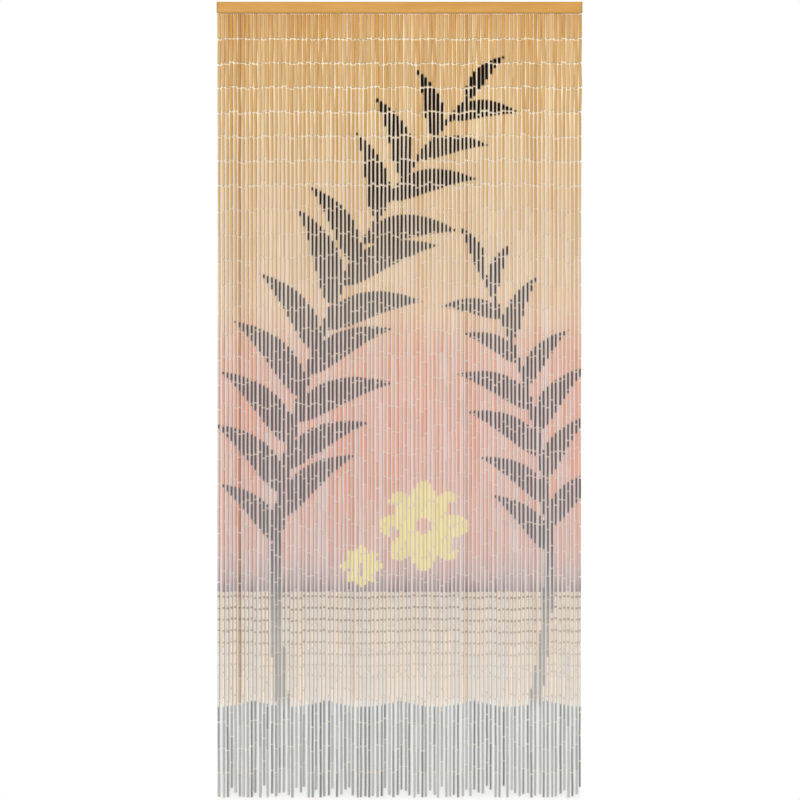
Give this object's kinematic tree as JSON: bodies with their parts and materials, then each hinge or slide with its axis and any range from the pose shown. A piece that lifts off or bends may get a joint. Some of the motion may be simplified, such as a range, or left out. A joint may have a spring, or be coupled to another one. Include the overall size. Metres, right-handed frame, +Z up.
{
  "type": "bamboo door curtain with headrail",
  "caption": "Door curtain of strands of painted bamboo tubes, wired end to end and hung from eyes under a flat wooden headrail.",
  "frame": {"origin": "middle of the headrail's back face, which lies on the wall above the doorway", "axes": "+X along the headrail, to the right seen from the front; +Y out of the headrail's back, into the wall; +Z up, with the strands hanging along -Z"},
  "size_m": [0.91, 0.012, 1.98],
  "materials": {
    "rail_paint": "ochre satin paint on a wooden batten",
    "painted_bamboo": "thin matt paint on bamboo tubes, shaded from ochre over pink to grey",
    "link_wire": "bright thin steel wire"
  },
  "bodies": {
    "root": {"headrail": "rail_paint", "strands": "painted_bamboo"}
  },
  "joints": []
}
